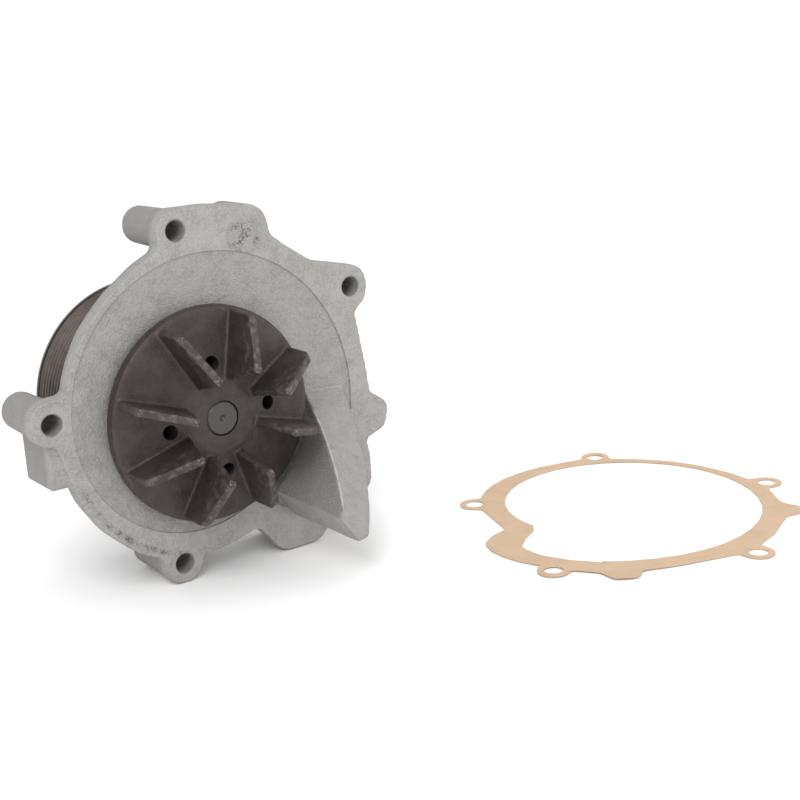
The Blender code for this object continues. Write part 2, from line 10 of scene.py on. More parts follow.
import bmesh
import bpy
from mathutils import Matrix, Vector, noise


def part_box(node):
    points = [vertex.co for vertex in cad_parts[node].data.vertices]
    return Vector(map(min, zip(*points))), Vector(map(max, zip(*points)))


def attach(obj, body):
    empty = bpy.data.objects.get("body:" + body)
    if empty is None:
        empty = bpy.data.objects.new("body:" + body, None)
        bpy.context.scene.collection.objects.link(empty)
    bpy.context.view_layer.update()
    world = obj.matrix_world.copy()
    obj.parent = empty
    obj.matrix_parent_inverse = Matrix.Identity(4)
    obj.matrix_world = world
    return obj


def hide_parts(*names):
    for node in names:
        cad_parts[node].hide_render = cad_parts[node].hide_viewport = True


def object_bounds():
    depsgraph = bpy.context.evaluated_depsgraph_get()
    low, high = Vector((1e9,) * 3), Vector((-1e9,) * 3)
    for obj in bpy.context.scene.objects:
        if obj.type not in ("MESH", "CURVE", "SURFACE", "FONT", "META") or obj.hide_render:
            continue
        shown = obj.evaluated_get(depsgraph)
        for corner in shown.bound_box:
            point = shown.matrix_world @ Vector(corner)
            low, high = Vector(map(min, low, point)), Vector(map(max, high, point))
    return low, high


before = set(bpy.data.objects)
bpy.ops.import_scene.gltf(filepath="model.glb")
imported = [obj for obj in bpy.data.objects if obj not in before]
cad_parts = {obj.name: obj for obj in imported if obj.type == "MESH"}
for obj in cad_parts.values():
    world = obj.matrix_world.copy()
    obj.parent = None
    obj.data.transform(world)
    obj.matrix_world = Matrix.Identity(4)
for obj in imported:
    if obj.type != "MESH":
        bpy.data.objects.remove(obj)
CAD_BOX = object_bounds()

MM = 0.001
SHAFT_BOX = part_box("shaft")
PULLEY_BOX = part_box("pulley")
AXIS_X = (PULLEY_BOX[0].x + PULLEY_BOX[1].x) / 2.0
AXIS_Z = (PULLEY_BOX[0].z + PULLEY_BOX[1].z) / 2.0
SHAFT_FRONT = 20.0
FACE_Y = SHAFT_BOX[0].y + SHAFT_FRONT * MM      # the machined flange face
UPRIGHT = Matrix.Translation((AXIS_X, FACE_Y, AXIS_Z)) @ Matrix.Rotation(math.radians(90.0), 4, "X")
FLOOR_Z = CAD_BOX[0].z

GAP = 0.3                      # kept between pieces that press or slide
FOOT = 93.4                    # shaft axis to the floor
FOOT_GAP = 0.05                # the straight feet end this far above the floor

# Flange, bolt holes and volute
HOLE_RADIUS = 5.5
BOLT_HOLES = {"top": (-6.6, 98.6), "right": (100.3, 51.9), "lower_right": (95.5, -61.0),
              "bottom": (-20.4, -82.3), "left": (-86.3, 11.2)}
FLANGE_THICKNESS = 9.0
BOSS_DEPTH = 42.0              # flange face to the screw seats
RECESS_DEPTH = 0.6
CUTWATER_ANGLE = -65.0
SPIRAL_START = 63.0
SPIRAL_GROWTH = 0.11           # millimetres of radius per degree
BEARING_SEAT = 26.3            # radius of the bearing's bore

# Helical outlet ramp
RAMP_START, RAMP_END = 3.0, -55.0
RAMP_INNER, RAMP_OUTER = 64.0, 91.5
RAMP_HEIGHT = 68.0
RAMP_FOOT = -6.0
RAMP_SUNK = 1.4                # its top starts this far below the flange face
CLIMB_START, CLIMB_SPAN = 1.0, 50.0     # degrees past the x axis, and degrees to the full height
CLIMB_POWER = 1.08
NOSE_SPAN = 12.0               # degrees over which the ramp narrows to its end

# Impeller
DISC_RADIUS = 59.0
DISC_BACK, DISC_FRONT, HUB_FRONT = 3.2, 9.6, 20.0
VANE_THICKNESS = 4.6
VANE_ANGLES = (162.4, 117.6, 72.6, 27.5, -17.5, -68.0, -113.0, -158.0)
BALANCE_HOLES, BALANCE_HOLE_RING, BALANCE_HOLE_RADIUS = 4, 29.8, 4.0
BALANCE_HOLE_TURN = 3.7        # degrees

# Shaft and pulley
SHAFT_NOSE_RADIUS, SHAFT_RADIUS, SHAFT_TAIL_RADIUS = 9.3, 12.5, 11.0
SHAFT_BACK = -84.5
PULLEY_RADIUS = 62.5
PULLEY_FRONT, PULLEY_BACK = -43.5, -76.0
RIB_COUNT, RIB_PITCH, RIB_DEPTH = 8, 3.56, 2.6
SCREW_COUNT, SCREW_RING, SCREW_HOLE_RADIUS = 4, 26.5, 4.3

# Voxel sizes of the cast skins, in metres
CAST_VOXEL = 0.00085
IMPELLER_VOXEL = 0.0007

# Camera, in metres
CAMERA_PLACE = (-0.4740, -0.6166, 0.3040)
CAMERA_RIGHT = (0.800, -0.598, -0.057)
CAMERA_LOOK = (0.564, 0.781, -0.269)


# ---------------------------------------------------------------- mesh helpers

def new_object(name, mesh):
    thing = bpy.data.objects.new(name, mesh)
    bpy.context.scene.collection.objects.link(thing)
    return thing


def evaluated(thing, name):
    """Mesh of a helper object with its modifiers done; the helper is removed."""
    bpy.context.view_layer.update()
    graph = bpy.context.evaluated_depsgraph_get()
    mesh = bpy.data.meshes.new_from_object(thing.evaluated_get(graph))
    mesh.name = name
    bpy.data.objects.remove(thing, do_unlink=True)
    return mesh


def combined(name, mesh, tools, operation):
    """The mesh joined with, or cut by, each of the tool meshes in turn."""
    body = new_object(name, mesh)
    helpers = []
    for tool in tools:
        helper = new_object(name + " tool", tool)
        helpers.append(helper)
        step = body.modifiers.new(operation, "BOOLEAN")
        step.operation = operation
        step.solver = "EXACT"
        step.object = helper
    result = evaluated(body, name)
    for helper in helpers:
        bpy.data.objects.remove(helper, do_unlink=True)
    return result


def cast(name, mesh, voxel, rounds):
    """Rounded, filleted skin of a sand casting over a sharp solid."""
    body = new_object(name, mesh)
    skin = body.modifiers.new("skin", "REMESH")
    skin.mode = "VOXEL"
    skin.voxel_size = voxel
    soften = body.modifiers.new("soften", "SMOOTH")
    soften.factor = 0.5
    soften.iterations = rounds
    return evaluated(body, name)


def outline_prism(name, outline, low, high):
    """Straight-sided solid on an outline, between z = low and z = high."""
    work = bmesh.new()
    face = work.faces.new([work.verts.new(Vector((x, y, low)) * MM) for x, y in outline])
    grown = bmesh.ops.extrude_face_region(work, geom=[face])
    top = [v for v in grown["geom"] if isinstance(v, bmesh.types.BMVert)]
    bmesh.ops.translate(work, vec=Vector((0.0, 0.0, high - low)) * MM, verts=top)
    bmesh.ops.recalc_face_normals(work, faces=work.faces)
    mesh = bpy.data.meshes.new(name)
    work.to_mesh(mesh)
    work.free()
    return mesh


def turned(name, profile, steps=128, closed=True):
    """Mesh of revolution about z. The profile runs down the outer side, then up the inner one."""
    mesh = bpy.data.meshes.new(name)
    count = len(profile)
    edges = [(i, i + 1) for i in range(count - 1)]
    if closed:
        edges.append((count - 1, 0))
    mesh.from_pydata([(r * MM, 0.0, z * MM) for r, z in profile], edges, [])
    guide = new_object(name, mesh)
    screw = guide.modifiers.new("turn", "SCREW")
    screw.axis = "Z"
    screw.steps = steps
    screw.render_steps = steps
    screw.use_merge_vertices = True
    screw.merge_threshold = 0.00001
    return evaluated(guide, name)


def bar(x, y, low, high, back_radius, front_radius, steps=48):
    """Round bar along z, from its back end at z = low to its front end at z = high."""
    work = bmesh.new()
    middle = Matrix.Translation(Vector((x, y, (low + high) / 2.0)) * MM)
    bmesh.ops.create_cone(work, cap_ends=True, segments=steps, radius1=back_radius * MM,
                          radius2=front_radius * MM, depth=(high - low) * MM, matrix=middle)
    mesh = bpy.data.meshes.new("bar")
    work.to_mesh(mesh)
    work.free()
    return mesh


def plate(outline, thickness, angle, name):
    """Flat plate whose outline is drawn as (distance from the shaft, z), turned round the shaft."""
    work = bmesh.new()
    half = thickness / 2.0
    face = work.faces.new([work.verts.new(Vector((r, -half, z)) * MM) for r, z in outline])
    grown = bmesh.ops.extrude_face_region(work, geom=[face])
    top = [v for v in grown["geom"] if isinstance(v, bmesh.types.BMVert)]
    bmesh.ops.translate(work, vec=Vector((0.0, thickness, 0.0)) * MM, verts=top)
    bmesh.ops.rotate(work, verts=work.verts, matrix=Matrix.Rotation(angle, 3, "Z"))
    bmesh.ops.recalc_face_normals(work, faces=work.faces)
    mesh = bpy.data.meshes.new(name)
    work.to_mesh(mesh)
    work.free()
    return mesh


def rounded(corners, steps=10):
    """Outline from (x, y, radius) corners: each corner becomes an arc of that radius."""
    points = []
    count = len(corners)
    for i, (x, y, radius) in enumerate(corners):
        here = Vector((x, y))
        before = (Vector(corners[i - 1][:2]) - here).normalized()
        after = (Vector(corners[(i + 1) % count][:2]) - here).normalized()
        half = before.angle(after) / 2.0
        if radius <= 0.0 or half > math.radians(88.0):
            points.append((x, y))
            continue
        centre = here + (before + after).normalized() * (radius / math.sin(half))
        start = here + before * (radius / math.tan(half)) - centre
        end = here + after * (radius / math.tan(half)) - centre
        turn = start.angle_signed(end)
        pieces = max(1, round(steps * abs(turn) / math.radians(90.0)))
        for k in range(pieces + 1):
            spoke = start.copy()
            spoke.rotate(Matrix.Rotation(-turn * k / pieces, 2))
            points.append(tuple(centre + spoke))
    return points


def add_piece(name, mesh, look, body, nodes, angle=35.0):
    """Finished piece, turned upright, that rides on a body and stands for CAD nodes."""
    mesh.transform(UPRIGHT)
    mesh.materials.clear()
    mesh.materials.append(look)
    mesh.shade_smooth()
    mesh.set_sharp_from_angle(angle=math.radians(angle))
    piece = new_object(name, mesh)
    even = piece.modifiers.new("even shading", "WEIGHTED_NORMAL")
    even.keep_sharp = True
    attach(piece, body)
    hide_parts(*nodes)
    return piece


# ---------------------------------------------------------------- materials

class Look:
    """A material and short ways to add nodes to it."""

    def __init__(self, name, roughness, metallic):
        self.material = bpy.data.materials.new(name)
        self.material.use_nodes = True
        self.tree = self.material.node_tree
        self.shader = self.tree.nodes["Principled BSDF"]
        self.shader.inputs["Roughness"].default_value = roughness
        self.shader.inputs["Metallic"].default_value = metallic
        self.coordinates = self.tree.nodes.new("ShaderNodeTexCoord")
        self.place = self.coordinates.outputs["Object"]

    def join(self, source, target):
        self.tree.links.new(source, target)

    def set_or_join(self, target, value):
        if isinstance(value, bpy.types.NodeSocket):
            self.join(value, target)
        else:
            target.default_value = value

    def grain(self, size_mm, detail=4.0, contrast=0.5):
        """Noise whose features are about size_mm wide."""
        node = self.tree.nodes.new("ShaderNodeTexNoise")
        node.inputs["Scale"].default_value = 1.0 / (size_mm * MM)
        node.inputs["Detail"].default_value = detail
        node.inputs["Roughness"].default_value = contrast
        self.join(self.place, node.inputs["Vector"])
        return node.outputs["Fac"]

    def cells(self, size_mm):
        node = self.tree.nodes.new("ShaderNodeTexVoronoi")
        node.inputs["Scale"].default_value = 1.0 / (size_mm * MM)
        self.join(self.place, node.inputs["Vector"])
        return node.outputs["Distance"]

    def math(self, operation, a, b=0.0):
        node = self.tree.nodes.new("ShaderNodeMath")
        node.operation = operation
        self.set_or_join(node.inputs[0], a)
        self.set_or_join(node.inputs[1], b)
        return node.outputs[0]

    def fade(self, value, start, end, low=0.0, high=1.0):
        """low before start, high after end, and smooth in between."""
        node = self.tree.nodes.new("ShaderNodeMapRange")
        node.interpolation_type = "SMOOTHSTEP"
        self.join(value, node.inputs["Value"])
        for socket, number in (("From Min", start), ("From Max", end), ("To Min", low), ("To Max", high)):
            node.inputs[socket].default_value = number
        return node.outputs["Result"]

    def blend(self, share, a, b):
        node = self.tree.nodes.new("ShaderNodeMix")
        node.data_type = "RGBA"
        self.set_or_join(node.inputs["Factor"], share)
        for socket, value in ((node.inputs[6], a), (node.inputs[7], b)):
            self.set_or_join(socket, value if isinstance(value, bpy.types.NodeSocket) else (*value, 1.0))
        return node.outputs[2]

    def bump(self, layers):
        """Bump from (height, depth in millimetres) layers."""
        normal = None
        for height, depth in layers:
            node = self.tree.nodes.new("ShaderNodeBump")
            node.inputs["Distance"].default_value = depth * MM
            self.join(height, node.inputs["Height"])
            if normal is not None:
                self.join(normal, node.inputs["Normal"])
            normal = node.outputs["Normal"]
        self.join(normal, self.shader.inputs["Normal"])

    def colour(self, value):
        self.join(value, self.shader.inputs["Base Color"])

    def distance(self, x, y):
        """Length of (x, y): for a place in the pump's frame, its distance from the shaft axis."""
        return self.math("SQRT", self.math("ADD", self.math("MULTIPLY", x, x), self.math("MULTIPLY", y, y)))

    def scratches(self, x, y):
        """Noise drawn out into strokes that run outwards from the shaft."""
        angle = self.math("ARCTAN2", y, x)
        place = self.tree.nodes.new("ShaderNodeCombineXYZ")
        self.join(self.math("MULTIPLY", angle, 32.0), place.inputs[0])
        self.join(self.math("MULTIPLY", self.distance(x, y), 0.09), place.inputs[1])
        node = self.tree.nodes.new("ShaderNodeTexNoise")
        node.inputs["Scale"].default_value = 1.6
        node.inputs["Detail"].default_value = 6.0
        node.inputs["Roughness"].default_value = 0.7
        self.join(place.outputs[0], node.inputs["Vector"])
        return node.outputs["Fac"]

    def pump_place(self):
        """(x, y, z) sockets in the pump's frame, in millimetres."""
        node = self.tree.nodes.new("ShaderNodeSeparateXYZ")
        self.join(self.place, node.inputs[0])
        x = self.math("MULTIPLY", self.math("SUBTRACT", node.outputs[0], AXIS_X), 1.0 / MM)
        y = self.math("MULTIPLY", self.math("SUBTRACT", node.outputs[2], AXIS_Z), 1.0 / MM)
        z = self.math("MULTIPLY", self.math("SUBTRACT", FACE_Y, node.outputs[1]), 1.0 / MM)
        return x, y, z

    def ramp_crest(self, x, y):
        """Height of the ramp's top surface at this angle, as ramp_mesh makes it."""
        degrees = self.math("MULTIPLY", self.math("ARCTAN2", y, x), -180.0 / math.pi)
        climb = self.math("DIVIDE", self.math("SUBTRACT", degrees, CLIMB_START), CLIMB_SPAN)
        climb = self.math("MAXIMUM", self.math("MINIMUM", climb, 1.0), 0.0)
        rise = self.math("MULTIPLY", self.math("POWER", climb, CLIMB_POWER), RAMP_HEIGHT + RAMP_SUNK)
        return self.math("SUBTRACT", rise, RAMP_SUNK)

    def facing_shaft(self, x, y, radius):
        """How squarely the surface faces the shaft: 1 straight at it, -1 straight away."""
        node = self.tree.nodes.new("ShaderNodeSeparateXYZ")
        self.join(self.coordinates.outputs["Normal"], node.inputs[0])
        outward = self.math("ADD", self.math("MULTIPLY", node.outputs[0], x),
                            self.math("MULTIPLY", node.outputs[2], y))
        return self.math("MULTIPLY", self.math("DIVIDE", outward, radius), -1.0)

    def near(self, x, y, centre, radius, soft):
        """1 inside a circle of the flange plane, fading to 0."""
        across = self.math("SUBTRACT", x, centre[0])
        upward = self.math("SUBTRACT", y, centre[1])
        return self.fade(self.distance(across, upward), radius, radius + soft, 1.0, 0.0)


def cast_aluminium_look():
    look = Look("cast aluminium", 0.62, 0.25)
    x, y, z = look.pump_place()
    radius = look.distance(x, y)
    fine = look.grain(0.7, 3.0)
    tone = look.blend(look.fade(look.grain(9.0), 0.35, 0.65), (0.275, 0.262, 0.25), (0.325, 0.31, 0.296))
    tone = look.blend(look.fade(fine, 0.35, 0.7, 0.0, 0.6), tone, (0.42, 0.405, 0.39))
    # rubbed grey patches, as on a casting that has been handled
    smudge = look.fade(look.grain(5.0, 6.0, 0.7), 0.5, 0.72, 0.0, 0.45)
    tone = look.blend(smudge, tone, (0.2, 0.188, 0.178))
    # bosses and everything behind the flange are painted a darker tone, fading in from 3 mm to 9 mm behind
    # the flange face
    behind = look.fade(z, -9.0, -3.0, 0.6, 0.0)
    tone = look.blend(behind, tone, (0.21, 0.198, 0.188))
    # the ramp's wall that faces the impeller is darker: rough sand skin with painted shade from the
    # impeller, and a painted highlight along the lip above it
    facing = look.fade(look.facing_shaft(x, y, radius), 0.25, 0.7)
    wall_shade_and_sand = look.math("MULTIPLY", look.fade(z, 1.0, 6.0), facing)
    sand_speck = look.fade(look.grain(0.9, 5.0, 0.7), 0.35, 0.65)
    shade_and_sand_tone = look.blend(sand_speck, (0.2, 0.182, 0.168), (0.33, 0.31, 0.292))
    # painted shade mixed with speckled sand skin on the wall that faces the shaft
    tone = look.blend(look.math("MULTIPLY", wall_shade_and_sand, 0.9), tone, shade_and_sand_tone)
    crest = look.ramp_crest(x, y)
    below = look.math("SUBTRACT", crest, z)
    # painted highlight along the inner edge of the ramp's crest
    near_crest = look.math("MULTIPLY", look.fade(below, 0.9, 1.6, 1.0, 0.0), look.fade(z, 6.0, 12.0))
    near_inside = look.fade(radius, RAMP_INNER + 1.0, RAMP_INNER + 1.8, 1.0, 0.0)
    lip_highlight = look.math("MULTIPLY", look.math("MULTIPLY", near_crest, near_inside), 0.7)
    tone = look.blend(lip_highlight, tone, (0.6, 0.59, 0.57))
    # machined land, marked across by handling, with porosity stains low on the left and by the top
    on_face = look.math("MULTIPLY", look.fade(z, -0.4, -0.2), look.fade(z, 0.3, 0.6, 1.0, 0.0))
    scuffs = look.math("MULTIPLY", on_face, look.fade(look.scratches(x, y), 0.52, 0.7, 0.0, 0.5))
    left_half = look.fade(x, -35.0, 10.0, 1.0, 0.25)
    tone = look.blend(look.math("MULTIPLY", scuffs, left_half), tone, (0.15, 0.14, 0.13))
    line = look.math("MULTIPLY", look.fade(radius, 76.8, 78.4), look.fade(radius, 79.4, 81.6, 1.0, 0.0))
    low_left = look.near(x, y, (-52.0, -58.0), 30.0, 12.0)
    by_top = look.near(x, y, (34.0, 90.0), 7.0, 6.0)
    stained = look.math("MAXIMUM", look.math("MULTIPLY", line, low_left), by_top)
    blotch = look.fade(look.grain(1.0, 5.0, 0.7), 0.4, 0.58)
    patchy = look.fade(look.grain(6.0, 3.0), 0.4, 0.54, 0.25, 1.0)
    speckle = look.math("MULTIPLY", blotch, patchy)
    stain = look.math("MULTIPLY", look.math("MULTIPLY", stained, speckle), on_face)
    tone = look.blend(look.math("MULTIPLY", stain, 0.85), tone, (0.05, 0.046, 0.042))
    look.colour(tone)
    look.join(look.fade(on_face, 0.0, 1.0, 0.66, 0.48), look.shader.inputs["Roughness"])
    sand = look.math("MULTIPLY", look.fade(on_face, 0.0, 1.0, 1.0, 0.25), fine)
    look.bump([(sand, 0.6), (look.grain(2.2), 0.4), (look.fade(look.cells(6.0), 0.0, 0.12), 0.1)])
    return look.material


def cast_iron_look():
    look = Look("dark impeller casting", 0.46, 0.35)
    x, y, z = look.pump_place()
    radius = look.distance(x, y)
    tone = look.blend(look.fade(look.grain(9.0), 0.35, 0.65), (0.04, 0.029, 0.027), (0.056, 0.043, 0.04))
    tone = look.blend(look.fade(look.grain(0.8), 0.4, 0.8, 0.0, 0.25), tone, (0.095, 0.078, 0.073))
    # painted highlights on the vane crests in places, strongest at their outer corners and peaks
    highlight_patches = look.fade(look.grain(4.0, 2.0), 0.45, 0.65)
    crest = look.math("MULTIPLY", look.fade(z, 27.0, 34.0, 0.0, 0.2), highlight_patches)
    at_rim = look.math("MULTIPLY", look.fade(radius, 53.0, 56.5), look.fade(z, 29.0, 32.0))
    at_peak = look.fade(z, 44.0, 46.0)
    highlight_specks = look.fade(look.grain(1.3), 0.5, 0.6)
    corner = look.math("MULTIPLY", look.math("MAXIMUM", at_rim, at_peak), highlight_specks)
    vane_highlight = look.math("MAXIMUM", crest, look.math("MULTIPLY", corner, 0.45))
    tone = look.blend(vane_highlight, tone, (0.3, 0.27, 0.255))
    look.colour(tone)
    look.join(look.fade(look.grain(3.0), 0.3, 0.7, 0.4, 0.56), look.shader.inputs["Roughness"])
    look.bump([(look.grain(0.9, 5.0), 0.3), (look.grain(4.0), 0.25)])
    return look.material


def steel_look(name, base, bright, roughness, line_mm=0.5):
    """Turned or ground steel with fine marks."""
    look = Look(name, roughness, 0.9)
    tone = look.blend(look.fade(look.grain(6.0), 0.3, 0.7), base, bright)
    look.colour(tone)
    look.join(look.fade(look.grain(1.5), 0.3, 0.7, roughness - 0.08, roughness + 0.1),
              look.shader.inputs["Roughness"])
    look.bump([(look.grain(line_mm, 2.0), 0.03)])
    return look.material


def shaft_look():
    look = Look("ground shaft steel", 0.42, 0.7)
    z = look.pump_place()[2]
    nose = look.fade(z, 17.0, 18.5)
    tone = look.blend(look.fade(look.grain(2.0), 0.3, 0.7), (0.30, 0.29, 0.28), (0.42, 0.41, 0.40))
    tone = look.blend(nose, tone, (0.085, 0.078, 0.073))
    look.colour(tone)
    look.bump([(look.grain(0.6, 3.0), 0.08)])
    return look.material


def pulley_look():
    look = Look("dark coated pulley steel", 0.4, 0.6)
    x, y = look.pump_place()[:2]
    radius = look.distance(x, y)
    tone = look.blend(look.fade(look.grain(8.0), 0.35, 0.65), (0.1, 0.082, 0.073), (0.13, 0.109, 0.098))
    # the two lips of the rim are worn bright
    tone = look.blend(look.fade(radius, PULLEY_RADIUS + 0.1, PULLEY_RADIUS + 0.5), tone, (0.45, 0.43, 0.41))
    look.colour(tone)
    look.bump([(look.grain(0.8), 0.05)])
    return look.material


def rubber_look():
    look = Look("black rubber", 0.75, 0.0)
    look.colour(look.blend(look.grain(1.5), (0.012, 0.012, 0.012), (0.03, 0.03, 0.03)))
    look.bump([(look.grain(0.5), 0.05)])
    return look.material


def carbon_look():
    look = Look("lapped carbon", 0.4, 0.0)
    look.colour(look.blend(look.grain(0.8), (0.02, 0.02, 0.022), (0.045, 0.045, 0.05)))
    look.bump([(look.grain(0.4), 0.02)])
    return look.material


def ceramic_look():
    look = Look("lapped ceramic", 0.3, 0.0)
    look.colour(look.blend(look.grain(3.0), (0.66, 0.64, 0.58), (0.74, 0.72, 0.67)))
    look.bump([(look.grain(0.5), 0.01)])
    return look.material


def paper_look():
    look = Look("gasket fibre paper", 0.85, 0.0)
    fibres = look.grain(0.8, 6.0, 0.7)
    tone = look.blend(look.fade(look.grain(14.0), 0.3, 0.7), (0.50, 0.355, 0.235), (0.56, 0.40, 0.27))
    tone = look.blend(look.fade(fibres, 0.3, 0.75, 0.0, 0.4), tone, (0.66, 0.49, 0.345))
    look.colour(tone)
    look.bump([(fibres, 0.06)])
    return look.material


# ---------------------------------------------------------------- housing

def flange_outline():
    """Clockwise from the ear of the top screw: five ears, two blind bumps and the foot lobe."""
    ear = 11.4
    corners = [
        (-18.4, 110.4, ear), (12.0, 110.0, 30.0), (47.5, 106.0, 13.0), (50.5, 89.0, 5.0),
        (60.0, 81.5, 20.0), (76.0, 70.5, 20.0),
        (112.0, 62.0, ear), (111.0, 40.5, ear), (102.0, 38.5, 4.0),
        (107.5, 5.0, 60.0), (109.5, -12.0, 3.0),
        (122.5, -21.0, 8.0), (118.5, -35.5, 8.0), (104.5, -39.5, 4.0),
        (107.0, -50.0, 10.0), (107.0, -72.6, ear), (86.0, -73.0, 12.0), (75.5, -78.0, 8.0),
        (71.5, -FOOT, 13.0), (42.5, -FOOT, 13.0), (27.5, -74.3, 6.0),
        (6.0, -80.0, 40.0), (-8.8, -80.5, 3.0),
        (-9.0, -FOOT, ear), (-32.0, -FOOT, ear), (-33.0, -76.0, 5.0),
        (-47.0, -69.5, 40.0), (-64.0, -53.5, 40.0), (-77.0, -33.0, 40.0), (-83.0, -10.0, 20.0),
        (-86.0, -0.5, 2.0), (-98.3, -1.0, ear), (-98.6, 23.2, ear), (-77.5, 24.5, 4.0),
        (-74.5, 36.0, 40.0), (-65.0, 54.0, 40.0), (-50.0, 70.0, 40.0), (-31.0, 83.5, 30.0),
        (-18.4, 89.5, 5.0),
    ]
    return rounded(corners)


def volute_outline():
    """Inside edge of the gasket land: the spiral, then the outlet around the ramp."""
    points = []
    for turn in range(0, 316, 3):
        angle = math.radians(CUTWATER_ANGLE - turn)
        radius = SPIRAL_START + SPIRAL_GROWTH * turn
        points.append((radius * math.cos(angle), radius * math.sin(angle)))
    outlet = [(97.0, -20.0, 0.0), (93.5, -32.5, 20.0), (84.5, -49.5, 14.0), (72.0, -64.0, 12.0),
              (57.0, -71.5, 8.0), (43.5, -65.5, 5.0), (33.0, -58.5, 6.0), (27.5, -57.5, 0.0)]
    return points + rounded(outlet, 6)[1:-1]


def ramp_mesh():
    """Helical outlet ramp: sections across the channel, each higher than the one before."""
    stations = 72
    vertices = []
    for k in range(stations + 1):
        angle = RAMP_START - (RAMP_START - RAMP_END) * k / stations
        along = Vector((math.cos(math.radians(angle)), math.sin(math.radians(angle))))
        climb = max(0.0, -angle - CLIMB_START) / CLIMB_SPAN
        top = -RAMP_SUNK + (RAMP_HEIGHT + RAMP_SUNK) * min(1.0, climb) ** CLIMB_POWER
        near_end = max(0.0, (RAMP_END + NOSE_SPAN - angle) / NOSE_SPAN)
        inner = RAMP_INNER + 2.0 * near_end ** 3
        outer = RAMP_OUTER - 4.0 * near_end ** 3
        soften = min(2.5, max(0.3, (top + RAMP_SUNK) * 0.4))
        section = [(inner, RAMP_FOOT), (outer + 1.5, RAMP_FOOT), (outer, top - soften * 1.6),
                   (outer - 0.35 * soften, top - 0.5 * soften), (outer - 1.4 * soften, top),
                   (inner + 0.5 * soften, top), (inner, top - 0.5 * soften)]
        vertices += [Vector((radius * along.x, radius * along.y, z)) * MM for radius, z in section]
    width = len(section)
    faces = [tuple(range(width)), tuple(stations * width + i for i in reversed(range(width)))]
    for k in range(stations):
        for i in range(width):
            j = (i + 1) % width
            faces.append((k * width + i, k * width + j, (k + 1) * width + j, (k + 1) * width + i))
    mesh = bpy.data.meshes.new("ramp")
    mesh.from_pydata(vertices, [], faces)
    work = bmesh.new()
    work.from_mesh(mesh)
    bmesh.ops.recalc_face_normals(work, faces=work.faces)
    work.to_mesh(mesh)
    work.free()
    return mesh


def boss_meshes():
    """Tapered bosses behind the screw ears and two blind ones; those on the floor are straight."""
    inside = -1.0              # every boss starts this deep in the flange
    foot = FOOT - FOOT_GAP
    bosses = []
    for name, (x, y) in BOLT_HOLES.items():
        if name != "bottom":
            bosses.append(bar(x, y, -BOSS_DEPTH, inside, 10.2, 11.0))
    x, y = BOLT_HOLES["bottom"]
    bosses.append(bar(x, y, -BOSS_DEPTH, inside, foot + y, foot + y))
    bosses.append(bar(57.0, -80.6, -38.0, inside, foot - 80.6, foot - 80.6))
    bosses.append(bar(34.0, 96.0, -24.0, inside, 11.4, 11.8))
    return bosses


def rib_meshes():
    """Webs from the bearing tube out to each screw boss."""
    ribs = []
    for x, y in BOLT_HOLES.values():
        reach = math.hypot(x, y)
        corners = [(30.0, -45.0), (46.0, -31.0), (reach - 7.0, -22.0), (reach - 7.0, -5.0), (30.0, -5.0)]
        ribs.append(plate(corners, 5.2, math.atan2(y, x), "rib"))
    return ribs


def dented(mesh, depth):
    """Sand-cast unevenness: slow waves moved into the surface, never outwards."""
    for vertex, normal in zip(mesh.vertices, mesh.vertex_normals):
        wave = noise.noise(vertex.co / (6.0 * MM)) * 0.5 + 0.5
        vertex.co -= normal.vector * (wave * depth * MM)
    return mesh


def build_housing(look):
    """The casting: a softened sand skin, then the machined recess, bores and screw holes."""
    flange = outline_prism("flange", flange_outline(), -FLANGE_THICKNESS, 0.0)
    back = [(0.0, -4.0), (72.0, -4.0), (71.0, -11.0), (62.0, -18.0), (48.0, -30.0), (36.0, -37.0),
            (34.0, -42.0), (33.5, -64.0), (32.5, -65.0), (0.0, -65.0)]
    lug = outline_prism("lug", [(-90.0, -24.0), (-66.0, -24.0), (-66.0, 4.0), (-90.0, 4.0)], -34.0, -2.0)
    parts = boss_meshes() + rib_meshes() + [lug, turned("rear body", back, 96, closed=False)]
    body = cast("housing body", combined("housing solid", flange, parts, "UNION"), CAST_VOXEL, 5)
    # the machined cuts come after the casting is softened, so their edges stay crisp
    cuts = [outline_prism("recess", volute_outline(), -RECESS_DEPTH, 3.0)]
    bore = [(0.0, 3.0), (44.0, 3.0), (44.0, -7.0), (41.0, -10.0), (19.3, -10.0), (19.3, -23.5),
            (17.0, -23.5), (17.0, -31.0), (BEARING_SEAT, -31.0), (BEARING_SEAT, -70.0), (0.0, -70.0)]
    cuts.append(turned("bore", bore, 128, closed=False))
    for x, y in BOLT_HOLES.values():
        cuts.append(bar(x, y, -60.0, 10.0, HOLE_RADIUS, HOLE_RADIUS))
        cuts.append(bar(x, y, -0.7, 0.5, HOLE_RADIUS, HOLE_RADIUS + 1.2))
    weep = bar(0.0, 0.0, 8.0, 60.0, 2.5, 2.5, 32)
    weep.transform(Matrix.Translation((0.0, 0.0, -27.5 * MM)) @ Matrix.Rotation(math.radians(90.0), 4, "X"))
    cuts.append(weep)
    body = combined("housing", body, cuts, "DIFFERENCE")
    ramp = dented(cast("ramp", ramp_mesh(), CAST_VOXEL, 4), 0.5)
    body = combined("housing", body, [ramp], "UNION")
    add_piece("housing_casting", body, look, "pump_body", ["housing"], 50.0)


# ---------------------------------------------------------------- rotor

